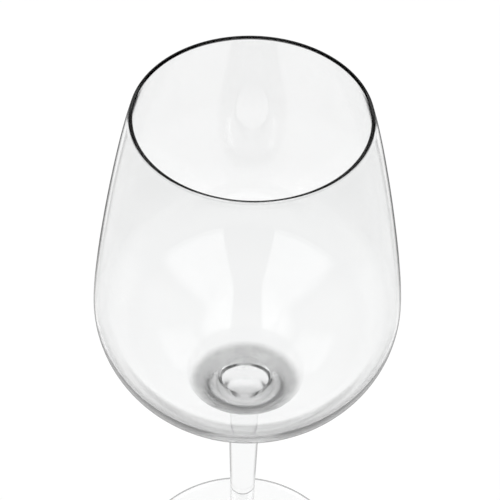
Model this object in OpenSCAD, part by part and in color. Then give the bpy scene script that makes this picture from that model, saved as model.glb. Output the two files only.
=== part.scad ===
// Stemmed wine glass: a blown bowl, a drawn stem fused under it and a spun foot.
// Millimetres, +Z up, origin at the centre of the foot's resting plane.

/* [Overall] */
// Height from the resting plane to the top of the rim
total_h = 226; // [216:1:236]

/* [Bowl] */
// Outside diameter at the belly, the widest part of the bowl
belly_d = 94; // [88:1:100]
// Outside diameter at the rim
rim_d = 68; // [62:1:74]
// Height of the bowl, from its outside bottom to the rim
bowl_h = 115; // [108:1:120]
// Height of the belly above the bowl's outside bottom
belly_h = 39.5; // [34:0.5:44]
// Lean of the wall at the rim, inwards from upright, in degrees
rim_lean = 17; // [12:1:20]
// Wall thickness at the fire-polished rim
rim_t = 1.1; // [0.9:0.1:1.6]
// Wall thickness at the belly
belly_t = 1.0; // [0.8:0.1:1.6]
// Glass thickness at the middle of the bowl's bottom
base_t = 2.6; // [2:0.1:4]
// Share of the bowl's inside lower curve that the dimple in its bottom takes up
dimple_share = 0.118; // [0.09:0.002:0.14]
// Depth of that dimple
dimple_h = 0.5; // [0.2:0.1:0.8]

/* [Stem] */
// Share of the bowl's lower curve that the stem's head is fused to
head_share = 0.265; // [0.2:0.005:0.3]
// Drop from the bowl's bottom to the neck, where the head has thinned to the shaft
head_h = 22; // [16:1:28]
// Diameter at the neck
neck_d = 9.8; // [8:0.1:12]
// Diameter at the waist, the thinnest part of the shaft
waist_d = 8.2; // [7:0.1:9.5]
// Height of the waist above the resting plane
waist_z = 36; // [30:1:45]

/* [Foot] */
// Diameter of the foot
foot_d = 79; // [74:1:84]
// Thickness of the foot at its edge
edge_t = 1.8; // [1.4:0.1:2.6]
// Diameter of the boss that the stem is fused to
boss_d = 15; // [12:0.5:18]
// Height of the boss above the resting plane
boss_h = 7.5; // [6:0.5:9]
// Outside diameter of the flat ring that the glass rests on
rest_outer_d = 75; // [70:1:76]
// Inside diameter of the flat ring that the glass rests on
rest_inner_d = 66; // [60:1:68]
// Depth of the hollow under the middle of the foot
hollow_h = 1.4; // [0.8:0.1:2]

/* [Hidden] */
$fn = 128;

belly_r = belly_d / 2;
rim_r = rim_d / 2;
foot_r = foot_d / 2;
boss_r = boss_d / 2;
bowl_z = total_h - bowl_h;
belly_z = bowl_z + belly_h;
shoulder_h = bowl_h - belly_h;
rim_z = total_h - rim_t / 2;
neck_z = bowl_z - head_h;

// Bezier handle lengths, as shares of the stretch that each one shapes
low_out = 0.546;
low_up = 0.578;
belly_pull = 0.153;
rim_pull = 0.22;
head_pull = 0.62;
neck_pull = 0.8;
shaft_pull = 0.35;
ankle_pull = 0.5;
cone_pull = 0.6;
hollow_pull = 0.5;

// Angle between the head's flare and the bowl where they meet, in degrees
head_lift = 7;

// Run of the dimple's sloping wall, and the Bezier handles at its foot and at its lip
dimple_run = 0.9;
dimple_turn = 0.4;

// Bezier handles where the ankle meets the boss, and where the boss runs out onto the foot
ankle_in = 1.6;
ankle_up = 2.4;
boss_out = 3.5;
boss_down = 4;
// Rise of the foot's top above its edge at the outer Bezier handle
cone_rise = 0.7;
// Run of the hollow's outer Bezier handle inside the resting ring
hollow_run = 6;
// The arc of the foot's rounded edge ends this far below level, in degrees
edge_turn = 45;

// Points on each stretch of an outline
seat_steps = 10;
side_steps = 22;
wall_steps = 30;
flare_steps = 14;
dimple_steps = 5;
round_steps = 8;

glass_clear = [0.9, 0.93, 0.94, 0.45];

// A point on the cubic Bezier curve through four control points, at t from 0 to 1
function bezier(p, t) =
    pow(1 - t, 3) * p[0] + 3 * pow(1 - t, 2) * t * p[1] + 3 * (1 - t) * t * t * p[2] + pow(t, 3) * p[3];

// The direction of that curve at t, in degrees from the r axis
function heading(p, t) =
    let (d = pow(1 - t, 2) * (p[1] - p[0]) + 2 * (1 - t) * t * (p[2] - p[1]) + t * t * (p[3] - p[2]))
    atan2(d[1], d[0]);

// The stretch of a Bezier curve from t = a to t = b, as steps + 1 points
function stretch(p, a, b, steps) = [for (i = [0:steps]) bezier(p, a + (b - a) * i / steps)];

// The same list without its first point, so that joined stretches share no point twice
function rest_of(points) = [for (i = [1:len(points) - 1]) points[i]];

function backwards(points) = [for (i = [len(points) - 1:-1:0]) points[i]];

// An arc about c from angle a to angle b
function arc(c, r, a, b, steps) = [
    for (i = [0:steps])
        let (turn = a + (b - a) * i / steps)
        c + r * [cos(turn), sin(turn)]
];

// Lower and upper curve of a bowl surface of belly radius r, bottom height z and rim radius e
function low_curve(r, z) = [[0, z], [low_out * r, z], [r, belly_z - low_up * (belly_z - z)], [r, belly_z]];
function high_curve(r, e) = [
    [r, belly_z],
    [r, belly_z + belly_pull * shoulder_h],
    [e + rim_pull * shoulder_h * sin(rim_lean), rim_z - rim_pull * shoulder_h * cos(rim_lean)],
    [e, rim_z]
];

outer_low = low_curve(belly_r, bowl_z);
outer_high = high_curve(belly_r, rim_r);
inner_low = low_curve(belly_r - belly_t, bowl_z + base_t);
inner_high = high_curve(belly_r - belly_t, rim_r - rim_t);

// The underside of the bowl that the stem's head is fused to, from the axis outwards
seat = stretch(outer_low, 0, head_share, seat_steps);
seat_edge = seat[seat_steps];
seat_slope = heading(outer_low, head_share);

// Blown bowl with a rounded, fire-polished rim and a shallow dimple in its bottom
module bowl() {
    lip = bezier(inner_low, dimple_share);
    lip_slope = heading(inner_low, dimple_share);
    floor_edge = [lip[0] - dimple_run, bowl_z + base_t - dimple_h];
    dimple = [
        floor_edge,
        floor_edge + [dimple_turn, 0],
        lip - dimple_turn * [cos(lip_slope), sin(lip_slope)],
        lip
    ];
    outline = concat(
        seat,
        rest_of(stretch(outer_low, head_share, 1, side_steps)),
        rest_of(stretch(outer_high, 0, 1, wall_steps)),
        rest_of(arc([rim_r - rim_t / 2, rim_z], rim_t / 2, 0, 180, round_steps)),
        rest_of(backwards(stretch(inner_high, 0, 1, wall_steps))),
        rest_of(backwards(stretch(inner_low, dimple_share, 1, side_steps + seat_steps))),
        rest_of(backwards(stretch(dimple, 0, 1, dimple_steps))),
        [[0, floor_edge[1]]]
    );
    color(glass_clear) rotate_extrude() polygon(outline);
}

// Drawn stem: a trumpet head that hugs the bowl, a tapered shaft and an ankle that opens to the foot
module stem() {
    head_reach = head_pull * (seat_edge[0] - neck_d / 2);
    head_slope = seat_slope + head_lift;
    head = [
        seat_edge,
        seat_edge - head_reach * [cos(head_slope), sin(head_slope)],
        [neck_d / 2, neck_z + neck_pull * head_h],
        [neck_d / 2, neck_z]
    ];
    shaft_drop = neck_z - waist_z;
    shaft = [
        [neck_d / 2, neck_z],
        [neck_d / 2, neck_z - shaft_pull * shaft_drop],
        [waist_d / 2, waist_z + shaft_pull * shaft_drop],
        [waist_d / 2, waist_z]
    ];
    ankle_drop = waist_z - boss_h;
    ankle = [
        [waist_d / 2, waist_z],
        [waist_d / 2, waist_z - ankle_pull * ankle_drop],
        [boss_r - ankle_in, boss_h + ankle_up],
        [boss_r, boss_h]
    ];
    outline = concat(
        seat,
        rest_of(stretch(head, 0, 1, flare_steps)),
        rest_of(stretch(shaft, 0, 1, flare_steps)),
        rest_of(stretch(ankle, 0, 1, flare_steps)),
        [[0, boss_h]]
    );
    color(glass_clear) rotate_extrude() polygon(outline);
}

// Spun foot: a shallow cone with a rounded edge, hollowed underneath so that it rests on a flat ring
module foot() {
    edge_r = edge_t / 2;
    rest_inner_r = rest_inner_d / 2;
    cone = [
        [boss_r, boss_h],
        [boss_r + boss_out, boss_h - boss_down],
        [cone_pull * foot_r, edge_t + cone_rise],
        [foot_r - edge_r, edge_t]
    ];
    hollow = [
        [0, hollow_h],
        [hollow_pull * rest_inner_r, hollow_h],
        [rest_inner_r - hollow_run, 0],
        [rest_inner_r, 0]
    ];
    outline = concat(
        [[0, boss_h]],
        stretch(cone, 0, 1, wall_steps),
        rest_of(arc([foot_r - edge_r, edge_r], edge_r, 90, -edge_turn, round_steps)),
        [[rest_outer_d / 2, 0], [rest_inner_r, 0]],
        rest_of(backwards(stretch(hollow, 0, 1, flare_steps)))
    );
    color(glass_clear) rotate_extrude() polygon(outline);
}

bowl();
stem();
foot();
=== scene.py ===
"""Clear stemmed wine glass: a blown bowl, a drawn stem and a spun foot, on a plain pale floor."""
import math
import bpy
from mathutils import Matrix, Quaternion, Vector


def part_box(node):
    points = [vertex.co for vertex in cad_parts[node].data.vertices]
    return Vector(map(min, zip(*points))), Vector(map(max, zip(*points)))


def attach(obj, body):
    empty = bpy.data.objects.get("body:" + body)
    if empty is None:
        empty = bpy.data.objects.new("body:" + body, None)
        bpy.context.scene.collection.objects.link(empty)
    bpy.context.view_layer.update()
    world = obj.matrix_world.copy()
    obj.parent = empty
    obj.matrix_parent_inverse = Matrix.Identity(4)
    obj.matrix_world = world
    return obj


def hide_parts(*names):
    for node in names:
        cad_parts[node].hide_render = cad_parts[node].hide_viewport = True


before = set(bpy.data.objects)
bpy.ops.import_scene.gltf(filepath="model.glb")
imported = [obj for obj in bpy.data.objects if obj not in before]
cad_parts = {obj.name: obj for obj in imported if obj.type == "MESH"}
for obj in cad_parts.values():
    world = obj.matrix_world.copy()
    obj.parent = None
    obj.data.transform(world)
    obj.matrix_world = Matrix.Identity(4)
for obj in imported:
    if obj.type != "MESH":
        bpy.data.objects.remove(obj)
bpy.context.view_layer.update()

MM = 0.001
TURNS = 192          # divisions round the axis
STEPS = 26           # divisions along each stroke of a section
QUARTER = 0.5523     # handle length of a quarter circle, for a radius of 1
WELD = 0.004 * MM    # points nearer than this become one
CREASE = math.radians(40)


# ---------------------------------------------------------------- node writing

class Signal:
    """A socket's output, so that shader maths reads as plain Python."""

    def __init__(self, tree, socket):
        self.tree = tree
        self.socket = socket

    def maths(self, operation, *values):
        return self.tree.node("ShaderNodeMath", {"operation": operation}, *values)[0]

    def __add__(self, other):
        return self.maths("ADD", self, other)

    def __radd__(self, other):
        return self.maths("ADD", other, self)

    def __sub__(self, other):
        return self.maths("SUBTRACT", self, other)

    def __rsub__(self, other):
        return self.maths("SUBTRACT", other, self)

    def __mul__(self, other):
        return self.maths("MULTIPLY", self, other)

    def __abs__(self):
        return self.maths("ABSOLUTE", self)

    def sine(self):
        return self.maths("SINE", self)

    def angle_from(self, other):
        """The angle of the direction whose run is other and whose rise is this."""
        return self.maths("ARCTAN2", self, other)


class Tree:
    """A material's or the world's node tree."""

    def __init__(self, owner):
        owner.use_nodes = True
        self.nodes = owner.node_tree.nodes
        self.links = owner.node_tree.links
        self.nodes.clear()

    def node(self, kind, settings=None, *values, **named):
        """One node: its settings first, then the values or links of its sockets."""
        made = self.nodes.new(kind)
        for key, value in (settings or {}).items():
            setattr(made, key, value)
        sockets = list(zip(made.inputs, values))
        sockets += [(made.inputs[key.replace("_", " ")], value) for key, value in named.items()]
        for socket, value in sockets:
            if isinstance(value, Signal):
                self.links.new(value.socket, socket)
            else:
                socket.default_value = value
        return [Signal(self, out) for out in made.outputs]

    def place(self):
        """A point on the piece, in metres."""
        return self.node("ShaderNodeTexCoord")[3]

    def direction(self):
        """The direction that the walls are seen in."""
        return self.node("ShaderNodeTexCoord")[0]

    def parts(self, vector):
        return self.node("ShaderNodeSeparateXYZ", None, vector)

    def height(self):
        """How high a point on the piece is."""
        return self.parts(self.place())[2]

    def moved(self, vector, shift):
        return self.node("ShaderNodeMapping", None, vector, shift)[0]

    def radius(self, vector, squeeze=1.0):
        """Distance from the Z axis, with Y stretched by squeeze."""
        flat = self.node("ShaderNodeVectorMath", {"operation": "MULTIPLY"}, vector, (1, squeeze, 0))[0]
        return self.node("ShaderNodeVectorMath", {"operation": "LENGTH"}, flat)[1]

    def ease(self, value, start, end):
        """0 at start, 1 at end, smooth between."""
        return self.node("ShaderNodeMapRange", {"interpolation_type": "SMOOTHSTEP"},
                         value, start, end)[0]

    def grade(self, value, stretch, first, last):
        """First where a stretch of the value starts, last where it ends, smooth between."""
        return self.ease(value, *stretch) * (last - first) + first

    def noise(self, vector, stretch, scale, detail=2.0, rough=0.5):
        """Soft noise from 0 to 1 on a place stretched along each axis."""
        turned = self.node("ShaderNodeMapping", None, vector, (0, 0, 0), (0, 0, 0), stretch)[0]
        return self.node("ShaderNodeTexNoise", None, turned, Scale=scale, Detail=detail, Roughness=rough)[0]

    def bump(self, height, depth):
        return self.node("ShaderNodeBump", None, Strength=1.0, Distance=depth, Height=height)[0]

    def grey(self, value, tint=(1.0, 1.0, 1.0)):
        """A value as a colour."""
        return self.node("ShaderNodeCombineColor", None, *(value * share for share in tint))[0]

    def see_through(self, level):
        """A shader that lets a share of the light straight through."""
        return self.node("ShaderNodeBsdfTransparent", None, (level, level, level, 1))[0]

    def mix(self, share, first, second):
        """The first shader, with a share of the second in its place."""
        return self.node("ShaderNodeMixShader", None, share, first, second)[0]

    def output(self, shader, kind="ShaderNodeOutputMaterial"):
        self.node(kind, None, shader)


# ---------------------------------------------------------------- measures

def inner_radius(low, high):
    """The radius of the largest circle about Z inside a box."""
    return min(high[0], -low[0], high[1], -low[1])


bowl_low, bowl_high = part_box("bowl")
stem_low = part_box("stem")[0]
foot_low, foot_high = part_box("foot")

belly_r = inner_radius(bowl_low, bowl_high)
foot_r = inner_radius(foot_low, foot_high)
bottom_z = bowl_low[2]
total_z = bowl_high[2]
boss_z = stem_low[2]

# The bowl, with its Bezier handles as shares of what each one shapes
rim_t = 1.1 * MM
belly_t = 1.0 * MM
base_t = 2.6 * MM
rim_r = 34 * MM
belly_z = bottom_z + 39.5 * MM
shoulder = total_z - belly_z
rim_z = total_z - rim_t / 2
rim_lean = math.radians(17)
LOW_OUT = 0.546
LOW_UP = 0.578
BELLY_PULL = 0.153
RIM_PULL = 0.22

# The dimple in the bowl's bottom
DIMPLE_SHARE = 0.118
DIMPLE_DEPTH = 0.5 * MM
DIMPLE_TURN = 0.4 * MM
DIMPLE_RISE = 0.02 * MM
DIMPLE_IN = 0.5
DIMPLE_OUT = 0.8
dimple_r = 7.8 * MM

# The stem
boss_r = 7.5 * MM
neck_r = 4.9 * MM
neck_z = bottom_z - 22 * MM
waist_r = 4.1 * MM
waist_z = 36 * MM
HEAD_SHARE = 0.265
HEAD_LIFT = math.radians(7)
HEAD_PULL = 0.62
NECK_PULL = 0.8
SHAFT_PULL = 0.35
ANKLE_PULL = 0.5
ANKLE_IN = 1.6 * MM
ANKLE_UP = 2.4 * MM
SEAT_GAP = 0.01 * MM     # keeps the stem's seat off the bowl's underside

# The foot
edge_t = 1.8 * MM
rest_outer = 37.5 * MM
rest_inner = 33 * MM
hollow_z = 1.4 * MM
BOSS_OUT = 3.5 * MM
BOSS_DOWN = 4 * MM
CONE_PULL = 0.6
CONE_RISE = 0.7 * MM
EDGE_PULL = 0.4
REST_OUT = 1.2 * MM
REST_UP = 0.2 * MM
HOLLOW_RUN = 6 * MM
HOLLOW_PULL = 0.5


# ---------------------------------------------------------------- finishes

GLASS_IOR = 1.5
COOL = (1, 1.004, 1.004)
SPUN_GREY = (0.965, 0.969, 0.969, 1)
HEAD_DULLNESS = 0.22

# Depth of the waves in each surface, and how strong its reflections are
BLOWN_DEPTH = 0.028 * MM
DRAWN_DEPTH = 0.03 * MM
SPUN_DEPTH = 0.012 * MM
BLOWN_GLOSS = 0.42
DRAWN_GLOSS = 0.5
SPUN_GLOSS = 0.8

# How much light each kind of painted shade lets through
LINE_GLASS = 0.2
PAD_GLASS = 0.58
RING_GLASS = 0.05

# Stretches of Layer Weight's facing, 0 square on and 1 edge on, over which a painted shade line darkens
OUTLINE = (0.84, 0.93)
BAND = (0.55, 0.62)
HEAVY_BAND = (0.74, 0.82)
SHAFT_LINE = (0.62, 0.82)
FOOT_LINE = (0.8, 0.95)

# Noises: the stretch of each axis, the scale, then the detail and roughness where they matter
STREAKS = (1, 1, 9), 60.0, 3.0
BLOWN_CORDS = (1, 1, 0.12), 150.0
BLOWN_WAVES = (1, 1, 1.6), 38.0
DRAWN_CORDS = (1, 1, 0.05), 420.0
CHILL = (1, 1, 2.0), 260.0, 3.0
RING_DRIFT = (1, 1, 1), 30.0
PAD_SHADE_NOISE = (1, 1, 1), 190.0, 4.0, 0.6
RING_GAPS = (1, 1, 1), 170.0

# Heights over which a finish or its painted shade changes
TALL_WALL = (belly_z, belly_z + 30 * MM)
UNDERSIDE = (belly_z - 17 * MM, belly_z - 25 * MM)
RIM_BEAD = (rim_z - 0.5 * MM, rim_z - 0.1 * MM)
BELLY_WALL = (belly_z - 20 * MM, belly_z + 20 * MM)
SHOULDER_WALL = (belly_z + 36 * MM, belly_z + 48 * MM)
BELOW_HEAD = (85 * MM, 77 * MM)
ABOVE_ANKLE = (54 * MM, 64 * MM)
SHAFT_TINT = (98 * MM, 82 * MM)
DULL_HEAD = (94 * MM, 100 * MM)
CHILLED_HEAD = (98 * MM, 106 * MM)

# Distances across or along the glass over which the painted shade changes
BAND_SIDES = (9 * MM, 24 * MM)
RIM_FRONT = (2 * MM, -26 * MM)
FOOT_EDGE = (foot_r - 0.7 * MM, foot_r - 0.3 * MM)

# The pad of painted shade on the seam, the clear hole in it and the ring of painted shade round the hole
PAD_SHIFT = (0, 3.6 * MM, 0)
PAD_SQUEEZE = 1.03
PAD_EDGE = (18.8 * MM, 15.3 * MM)
PAD_FRONT = (-5 * MM, -13 * MM)
HOLE_SHIFT = (0, 1.1 * MM, 0)
HOLE_SQUEEZE = 1.3
HOLE_EDGE = (8.3 * MM, 7.5 * MM)
HOLE_FRONT = (-1.5 * MM, -7 * MM)
RING_INSIDE = (7.3 * MM, 7.8 * MM)
RING_OUTSIDE = (9.2 * MM, 8.6 * MM)
RING_BREAK = (0.35, 0.55)
RING_SIDES = (1 * MM, 3.5 * MM)
RING_BACK = (-7 * MM, -3 * MM)

RING_RATE = 2100.0     # radians of the foot's ring pattern for each metre outwards
RING_WANDER = 9.0      # radians that the noise shifts it by, at most


def glass(name, waves, depth, shading, tint, dullness, gloss):
    """Clear glass with a wavy surface, with painted shade mixed in by as much as shading says."""
    finish = bpy.data.materials.new(name)
    tree = Tree(finish)
    facing = tree.node("ShaderNodeLayerWeight", None, Blend=0.5)[1]
    clear = tree.node("ShaderNodeBsdfPrincipled", None,
                      Base_Color=tint(tree), Roughness=dullness(tree), IOR=GLASS_IOR,
                      Specular_Tint=(gloss, gloss, gloss, 1), Transmission_Weight=1.0,
                      Normal=tree.bump(waves(tree), depth))[0]
    # Painted shade: a dark see-through layer mixed in wherever shading says
    tree.output(tree.mix(shading(tree, facing), clear, tree.see_through(LINE_GLASS)))
    return finish


def blown_shading(tree, facing):
    """Painted shade: a dark edge line, a streaky grey band under the bowl and the dark bead of the rim."""
    place = tree.place()
    x, y, z = tree.parts(place)
    edge = tree.ease(facing, *OUTLINE) * tree.grade(z, TALL_WALL, 0.5, 0.85)
    streaks = tree.noise(place, *STREAKS)
    # Painted shade: a streaky grey band where the underside is seen edge on
    faint_band = tree.ease(facing, *BAND) * (streaks * 0.5 + 0.06)
    heavy = tree.grade(abs(x), BAND_SIDES, 0.35, 1.05) * tree.ease(facing, *HEAVY_BAND)
    band = tree.ease(z, *UNDERSIDE) * (faint_band + heavy * (streaks * 0.8 + 0.6))
    bead = tree.ease(z, *RIM_BEAD)
    # Painted shade on the rim bead, darkest at the back and sides, fading towards the front
    rim = bead * tree.grade(y, RIM_FRONT, 0.88, 0.13)
    return edge * (1 - bead) + band + rim


def drawn_shading(tree, facing):
    """A fine painted dark line of shade down each side of the shaft, fainter at its two ends."""
    z = tree.height()
    shaft = tree.ease(z, *BELOW_HEAD) * tree.grade(z, ABOVE_ANKLE, 0.15, 0.43)
    return tree.ease(facing, *SHAFT_LINE) * (shaft + 0.05)


def spun_shading(tree, facing):
    """A painted dark line of shade round the foot's rounded edge."""
    edge = tree.ease(tree.radius(tree.place()), *FOOT_EDGE)
    return edge * 0.6 + tree.ease(facing, *FOOT_LINE) * 0.15


def blown_tint(tree):
    """Slightly greyer where the wall is upright, clearer in the round bottom."""
    z = tree.height()
    return tree.grey(tree.grade(z, BELLY_WALL, 0.998, 0.9) - tree.ease(z, *SHOULDER_WALL) * 0.02, COOL)


def drawn_tint(tree):
    """Clear in the head, slightly greyer down the shaft."""
    return tree.grey(tree.grade(tree.height(), SHAFT_TINT, 0.985, 0.935), COOL)


def spun_tint(_):
    """The same pale grey all over."""
    return SPUN_GREY


def polished(_):
    """Smooth all over, from the fire."""
    return 0.0


def chilled_head(tree):
    """Slightly dull at the head, which was chilled as it was pressed on."""
    return tree.ease(tree.height(), *DULL_HEAD) * HEAD_DULLNESS


def blown_waves(tree):
    """Faint cords that run up the blown wall, and slow waves round it."""
    place = tree.place()
    return tree.noise(place, *BLOWN_CORDS) * 0.35 + tree.noise(place, *BLOWN_WAVES) * 0.65


def drawn_cords(tree):
    """Cords drawn along the stem, and crumpled chill marks round its head."""
    place = tree.place()
    high = tree.ease(tree.height(), *CHILLED_HEAD)
    return tree.noise(place, *DRAWN_CORDS) * (1 - high) * 0.3 + tree.noise(place, *CHILL) * high * 3


def spun_rings(tree):
    """Rings that the tool left as the foot was spun, uneven from ring to ring."""
    place = tree.place()
    drift = tree.noise(place, *RING_DRIFT)
    rings = (tree.radius(place) * RING_RATE + drift * RING_WANDER).sine()
    return rings * 0.25 + drift


def clear_seam(name):
    """Where two pieces of hot glass fused and left no trace."""
    finish = bpy.data.materials.new(name)
    tree = Tree(finish)
    tree.output(tree.see_through(1))
    return finish


def painted_shade_seam(name):
    """Where the stem's head fused to the bowl: a soft pad of painted shade with a clear hole in
    it, and a broken ring of painted shade round the back of the hole."""
    finish = bpy.data.materials.new(name)
    tree = Tree(finish)
    place = tree.place()
    spread = tree.radius(tree.moved(place, HOLE_SHIFT), HOLE_SQUEEZE)
    marked = tree.mix(painted_pad_shade(tree, place, spread), tree.see_through(1), tree.see_through(PAD_GLASS))
    tree.output(tree.mix(painted_ring_shade(tree, place, spread), marked, tree.see_through(RING_GLASS)))
    return finish


def painted_pad_shade(tree, place, spread):
    """The pad's painted shade, at a spread from the middle of its hole."""
    y = tree.parts(place)[1]
    outer = tree.ease(tree.radius(tree.moved(place, PAD_SHIFT), PAD_SQUEEZE), *PAD_EDGE)
    hole = tree.ease(spread, *HOLE_EDGE) * tree.grade(y, HOLE_FRONT, 1, 0.05)
    # The pad's painted shade, mottled by noise
    marks = tree.noise(place, *PAD_SHADE_NOISE) + 0.45
    return outer * (1 - hole) * marks * tree.grade(y, PAD_FRONT, 1, 0.7)


def painted_ring_shade(tree, place, spread):
    """The ring's painted shade, at a spread from the middle of the hole."""
    x, y = tree.parts(place)[:2]
    ring = tree.ease(spread, *RING_INSIDE) * tree.ease(spread, *RING_OUTSIDE)
    gaps = tree.grade(tree.noise(place, *RING_GAPS), RING_BREAK, 0.5, 1)
    return ring * gaps * tree.grade(abs(x), RING_SIDES, 0.25, 0.95) * tree.ease(y, *RING_BACK)


# ---------------------------------------------------------------- turning on the lathe

def deselect():
    bpy.ops.object.select_all(action="DESELECT")


def split(stroke, share):
    """A Bezier stroke cut in two at a share of its length parameter."""
    a, b, c, d = stroke
    ab, bc, cd = a.lerp(b, share), b.lerp(c, share), c.lerp(d, share)
    abc, bcd = ab.lerp(bc, share), bc.lerp(cd, share)
    middle = abc.lerp(bcd, share)
    return (a, ab, abc, middle), (middle, bcd, cd, d)


def back(stroke):
    return tuple(reversed(stroke))


def line(start, end):
    return start, start.lerp(end, 1 / 3), start.lerp(end, 2 / 3), end


def quarter(start, corner, end):
    """A quarter circle from start to end round the inside of corner."""
    return start, start.lerp(corner, QUARTER), end.lerp(corner, QUARTER), end


def spot(r, z):
    return Vector((r, 0, z))


def draw(name, strokes):
    """A section as a wire of vertices, from the axis back to the axis."""
    deselect()
    bpy.ops.curve.primitive_bezier_curve_add(radius=1, location=(0, 0, 0))
    wire = bpy.context.object
    wire.name = name
    wire.data.dimensions = "3D"
    wire.data.resolution_u = STEPS
    points = wire.data.splines[0].bezier_points
    points.add(len(strokes) - 1)
    for point in points:
        point.handle_left_type = "FREE"
        point.handle_right_type = "FREE"
    for index, stroke in enumerate(strokes):
        points[index].co = stroke[0]
        points[index].handle_right = stroke[1]
        points[index + 1].handle_left = stroke[2]
        points[index + 1].co = stroke[3]
    points[0].handle_left = points[0].co
    points[-1].handle_right = points[-1].co
    bpy.ops.object.convert(target="MESH")
    return bpy.context.object


def turn(name, strokes):
    """The section spun round the axis into a closed piece of glass."""
    piece = draw(name, strokes)
    piece.data.name = name
    bpy.ops.object.mode_set(mode="EDIT")
    bpy.ops.mesh.select_all(action="SELECT")
    bpy.ops.mesh.spin(steps=TURNS, angle=2 * math.pi, center=(0, 0, 0), axis=(0, 0, 1))
    bpy.ops.mesh.select_all(action="SELECT")
    bpy.ops.mesh.remove_doubles(threshold=WELD)
    bpy.ops.mesh.normals_make_consistent(inside=False)
    bpy.ops.object.mode_set(mode="OBJECT")
    bpy.ops.object.shade_smooth_by_angle(angle=CREASE)
    return piece


def fuse(piece, finish, seam, is_joint):
    """Gives a piece its finish, and the seam's to the faces that is_joint picks out."""
    piece.data.materials.append(finish)
    piece.data.materials.append(seam)
    bpy.ops.object.mode_set(mode="EDIT")
    bpy.ops.mesh.select_mode(type="FACE")
    bpy.ops.mesh.select_all(action="DESELECT")
    bpy.ops.object.mode_set(mode="OBJECT")
    for face in piece.data.polygons:
        radius = math.hypot(face.center.x, face.center.y)
        face.select = is_joint(radius, face.center.z, face.normal.z)
    bpy.ops.object.mode_set(mode="EDIT")
    piece.active_material_index = 1
    bpy.ops.object.material_slot_assign()
    bpy.ops.mesh.select_all(action="DESELECT")
    bpy.ops.object.mode_set(mode="OBJECT")


def hand_in(piece, node):
    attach(piece, "root")
    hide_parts(node)


# ---------------------------------------------------------------- the shape

def low_stroke(r, z):
    """The bowl's surface from its bottom to the belly."""
    return (spot(0, z), spot(LOW_OUT * r, z),
            spot(r, belly_z - LOW_UP * (belly_z - z)), spot(r, belly_z))


def high_stroke(r, e):
    """The bowl's surface from the belly to the rim."""
    pull = RIM_PULL * shoulder
    return (spot(r, belly_z), spot(r, belly_z + BELLY_PULL * shoulder),
            spot(e + pull * math.sin(rim_lean), rim_z - pull * math.cos(rim_lean)), spot(e, rim_z))


seat, side = split(low_stroke(belly_r, bottom_z), HEAD_SHARE)
seat_edge = seat[3]


def dimple(r, z):
    """The inside of the bowl's bottom: a shallow round dimple left by the stem's gather."""
    floor, wall = split(low_stroke(belly_r - belly_t, z), DIMPLE_SHARE)
    lip = wall[0]
    low = z - DIMPLE_DEPTH
    dip = (spot(0, low), spot(DIMPLE_IN * r, low), spot(DIMPLE_OUT * r, low), spot(r, low))
    lip_handle = lip - (lip - floor[2]).normalized() * DIMPLE_TURN
    rise = (spot(r, low), spot(r, low) + spot(DIMPLE_TURN, DIMPLE_RISE), lip_handle, lip)
    return dip, rise, wall


def blown_bowl():
    rim_half = rim_t / 2
    outer_rim = spot(rim_r, rim_z)
    inner_rim = spot(rim_r - rim_t, rim_z)
    crown = spot(rim_r - rim_half, rim_z + rim_half)
    dip, rise, wall = dimple(dimple_r, bottom_z + base_t)
    return [
        seat, side, high_stroke(belly_r, rim_r),
        quarter(outer_rim, spot(rim_r, rim_z + rim_half), crown),
        quarter(crown, spot(rim_r - rim_t, rim_z + rim_half), inner_rim),
        back(high_stroke(belly_r - belly_t, rim_r - rim_t)),
        back(wall), back(rise), back(dip)
    ]


def drawn_stem():
    slope = math.atan2(seat_edge.z - seat[2].z, seat_edge.x - seat[2].x) + HEAD_LIFT
    reach = HEAD_PULL * (seat_edge.x - neck_r)
    drop = neck_z - waist_z
    fall = waist_z - boss_z
    below = spot(0, -SEAT_GAP)
    return [
        tuple(point + below for point in seat),
        (seat_edge + below, seat_edge - spot(reach * math.cos(slope), reach * math.sin(slope)),
         spot(neck_r, neck_z + NECK_PULL * (bottom_z - neck_z)), spot(neck_r, neck_z)),
        (spot(neck_r, neck_z), spot(neck_r, neck_z - SHAFT_PULL * drop),
         spot(waist_r, waist_z + SHAFT_PULL * drop), spot(waist_r, waist_z)),
        (spot(waist_r, waist_z), spot(waist_r, waist_z - ANKLE_PULL * fall),
         spot(boss_r - ANKLE_IN, boss_z + ANKLE_UP), spot(boss_r, boss_z)),
        line(spot(boss_r, boss_z), spot(0, boss_z))
    ]


def spun_foot():
    half = edge_t / 2
    return [
        line(spot(0, boss_z), spot(boss_r, boss_z)),
        (spot(boss_r, boss_z), spot(boss_r + BOSS_OUT, boss_z - BOSS_DOWN),
         spot(CONE_PULL * foot_r, edge_t + CONE_RISE), spot(foot_r - half, edge_t)),
        quarter(spot(foot_r - half, edge_t), spot(foot_r, edge_t), spot(foot_r, half)),
        (spot(foot_r, half), spot(foot_r, EDGE_PULL * half),
         spot(rest_outer + REST_OUT, REST_UP), spot(rest_outer, 0)),
        line(spot(rest_outer, 0), spot(rest_inner, 0)),
        (spot(rest_inner, 0), spot(rest_inner - HOLLOW_RUN, 0),
         spot(HOLLOW_PULL * rest_inner, hollow_z), spot(0, hollow_z))
    ]


# ---------------------------------------------------------------- putting it together

# Least Z of a joint face's normal, up or down, on the curved seat and on the flat top of the boss
TILTED = 0.3
FLAT = 0.9


def under_bowl(r, z, up):
    return r < seat_edge.x and z < seat_edge.z and up < -TILTED


def ends_of_stem(_, z, up):
    return (z > bottom_z - 2 * SEAT_GAP and up > TILTED) or (z < boss_z + SEAT_GAP and up < -FLAT)


def top_of_boss(r, z, up):
    return r < boss_r and z > boss_z - SEAT_GAP and up > FLAT


bowl_seam = painted_shade_seam("fused_bowl_seam")
plain_seam = clear_seam("fused_clear_seam")

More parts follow.
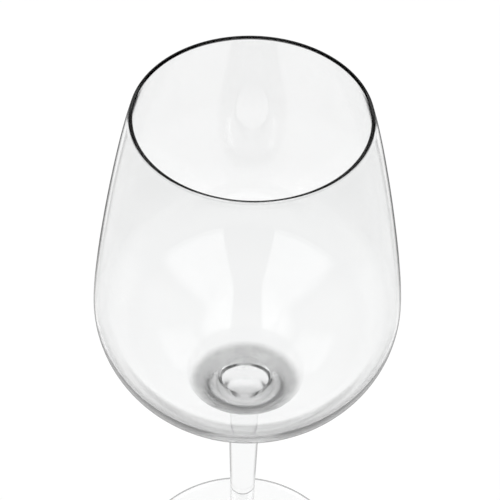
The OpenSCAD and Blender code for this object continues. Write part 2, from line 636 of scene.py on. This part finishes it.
bowl = turn("blown_bowl", blown_bowl())
blown_glass = glass("blown_glass", blown_waves, BLOWN_DEPTH, blown_shading, blown_tint, polished,
                    BLOWN_GLOSS)
fuse(bowl, blown_glass, bowl_seam, under_bowl)
hand_in(bowl, "bowl")

stem = turn("drawn_stem", drawn_stem())
drawn_glass = glass("drawn_glass", drawn_cords, DRAWN_DEPTH, drawn_shading, drawn_tint, chilled_head,
                    DRAWN_GLOSS)
fuse(stem, drawn_glass, plain_seam, ends_of_stem)
hand_in(stem, "stem")

foot = turn("spun_foot", spun_foot())
spun_glass = glass("spun_glass", spun_rings, SPUN_DEPTH, spun_shading, spun_tint, polished,
                   SPUN_GLOSS)
fuse(foot, spun_glass, plain_seam, top_of_boss)
hand_in(foot, "foot")


# ---------------------------------------------------------------- the studio

CAMERA_PLACE = (0, -0.35416, 0.55038)
CAMERA_PITCH = math.radians(46.927)
CAMERA_YAW = math.radians(0.068)
CAMERA_ROLL = math.radians(1.537)
SENSOR_WIDTH = 36
FOCAL_LENGTH = 125.4

FLOOR_RADIUS = 4
FLOOR_Z = -0.0002
FLOOR_SIDES = 96
FLOOR_GREY = (0.02, 0.02, 0.02, 1)
FLOOR_ROUGHNESS = 0.9
FLOOR_GLOW = 0.975
POOL = (0.4, 2.0)            # radii over which the floor dims
LAMP_ASIDE = 1.1
LAMP_BACK = 0.9
LAMP_UP = 1.5
LAMP_SIZE = 0.9
LAMP_POWER = 3.5
LAMP_AIM = (0, 0, 0.12)
PANEL_LIGHT = 2.7

# Stretches of a direction's Z, from 0 at the horizon to 1 straight up
WALL_RISE = (0.0, 0.5)
CEILING = (0.6, 1.0)
NEAR_TOP = (0.4, 0.85)
PANEL_FOOT = (0.02, 0.07)
PANEL_TOP = (0.8, 0.9)

# Stretches of a direction's Y, which is negative in front of the glass
NEAR = (-0.3, -0.95)
PANEL_BACK = (0.3, 0.1)

# Stretches of a direction's distance aside, and of its turn from straight ahead in radians
PANEL_NARROW = (0.5, 0.4)
PANEL_GAP = (0.15, 0.18)
PANEL_START = (0.31, 0.335)
PANEL_END = (1.05, 1.25)


def pale_floor():
    """A plain pale floor that glows, with a painted pool of light brightest round the glass."""
    deselect()
    bpy.ops.mesh.primitive_circle_add(vertices=FLOOR_SIDES, radius=FLOOR_RADIUS, fill_type="NGON",
                                      location=(0, 0, FLOOR_Z))
    floor = bpy.context.object
    floor.name = "pale_floor"
    finish = bpy.data.materials.new("pale_floor")
    tree = Tree(finish)
    # Painted pool of light: the floor's glow dims away from the glass
    pool = tree.grade(tree.radius(tree.place()), POOL, 1, 0.85)
    shader = tree.node("ShaderNodeBsdfPrincipled", None, Base_Color=FLOOR_GREY,
                       Roughness=FLOOR_ROUGHNESS, Specular_IOR_Level=0.0,
                       Emission_Color=tree.grey(pool), Emission_Strength=FLOOR_GLOW)[0]
    tree.output(shader)
    floor.data.materials.append(finish)


def soft_box(name, aside):
    """A large soft lamp behind the glass and to one side, that faces the glass."""
    lamp = bpy.data.lights.new(name, "AREA")
    lamp.shape = "RECTANGLE"
    lamp.size = LAMP_SIZE
    lamp.size_y = LAMP_SIZE
    lamp.energy = LAMP_POWER
    stand = bpy.data.objects.new(name, lamp)
    bpy.context.scene.collection.objects.link(stand)
    stand.location = (aside, LAMP_BACK, LAMP_UP)
    stand.rotation_euler = (Vector(LAMP_AIM) - stand.location).to_track_quat("-Z", "Y").to_euler()


def wall_light(tree, y, z):
    """Walls that brighten upwards from the horizon, dimmer in front of the glass."""
    level = tree.grade(z, WALL_RISE, 0.65, 1.25) - tree.ease(z, *CEILING) * 0.3
    near = tree.ease(y, *NEAR) * (1 - tree.ease(z, *NEAR_TOP))
    return level * (1 - near * 0.5)


def panel_light(tree, x, y, z):
    """A tall bright panel to the left and to the right, in front of the glass."""
    aside = abs(x)
    turned = aside.angle_from(0 - y)
    above = tree.ease(aside, *PANEL_NARROW) * tree.ease(z, *PANEL_TOP)
    wide = 1 - tree.ease(turned, *PANEL_END) * (1 - above)
    panel = tree.ease(turned, *PANEL_START) * tree.ease(aside, *PANEL_GAP) * wide
    return panel * tree.ease(z, *PANEL_FOOT) * tree.ease(y, *PANEL_BACK) * PANEL_LIGHT


def studio_walls():
    """Pale walls with two tall bright panels."""
    world = bpy.data.worlds.new("studio_walls")
    bpy.context.scene.world = world
    tree = Tree(world)
    x, y, z = tree.parts(tree.direction())
    light = wall_light(tree, y, z) + panel_light(tree, x, y, z)
    shader = tree.node("ShaderNodeBackground", None, tree.grey(light), 1.0)[0]
    tree.output(shader, "ShaderNodeOutputWorld")


def camera():
    """Above the glass and in front of it, looking down into the bowl."""
    lens = bpy.data.cameras.new("camera")
    lens.sensor_width = SENSOR_WIDTH
    lens.lens = FOCAL_LENGTH
    lens.clip_start = 0.01
    stand = bpy.data.objects.new("camera", lens)
    bpy.context.scene.collection.objects.link(stand)
    stand.location = CAMERA_PLACE
    run, fall = math.cos(CAMERA_PITCH), math.sin(CAMERA_PITCH)
    ahead = Vector((math.sin(CAMERA_YAW) * run, math.cos(CAMERA_YAW) * run, -fall))
    stand.rotation_mode = "QUATERNION"
    stand.rotation_quaternion = ahead.to_track_quat("-Z", "Y") @ Quaternion((0, 0, 1), CAMERA_ROLL)
    bpy.context.scene.camera = stand


pale_floor()
studio_walls()
soft_box("soft_box_left", -LAMP_ASIDE)
soft_box("soft_box_right", LAMP_ASIDE)
camera()

scene = bpy.context.scene
scene.view_settings.view_transform = "Standard"
scene.cycles.max_bounces = 32
scene.cycles.transmission_bounces = 24
scene.cycles.glossy_bounces = 16
scene.cycles.transparent_max_bounces = 16
